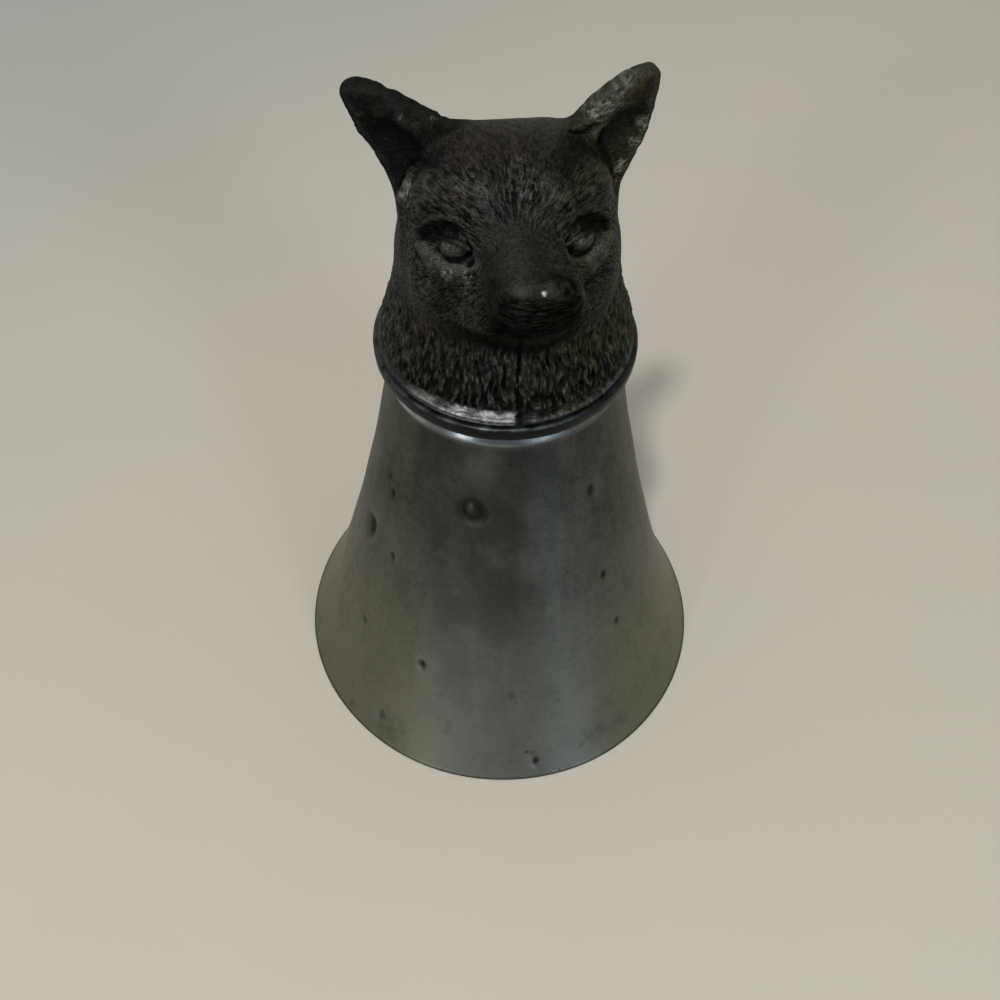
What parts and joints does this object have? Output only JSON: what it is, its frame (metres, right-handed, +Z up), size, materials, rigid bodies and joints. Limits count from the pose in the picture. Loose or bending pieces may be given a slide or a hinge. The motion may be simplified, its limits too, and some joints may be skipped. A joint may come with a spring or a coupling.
{
  "type": "stirrup cup",
  "caption": "Bell-shaped pewter stirrup cup standing on its flared mouth, with a round bead collar and a dark cast fox head soldered to the closed end.",
  "frame": {"origin": "centre of the mouth rim, on the surface that the cup stands on", "axes": "+Z up along the cup's turned axis, from the mouth to the head; the fox looks along -Y and +X is to the viewer's right"},
  "size_m": [0.048, 0.048, 0.0742],
  "materials": {
    "bowl_pewter": "satin spun pewter, olive-grey, pitted and lightly scratched",
    "collar_pewter": "turned pewter bead, rubbed bright on its top edge",
    "head_patina": "dark brown-black patinated pewter casting, rubbed lighter on the high fur",
    "solder": "soft solder, dull grey"
  },
  "bodies": {
    "root": {"cup_bowl": "bowl_pewter", "collar_ring": "collar_pewter", "neck_solder": "solder", "head_left": "head_patina", "head_right": "head_patina", "seam_solder": "solder"}
  },
  "joints": []
}
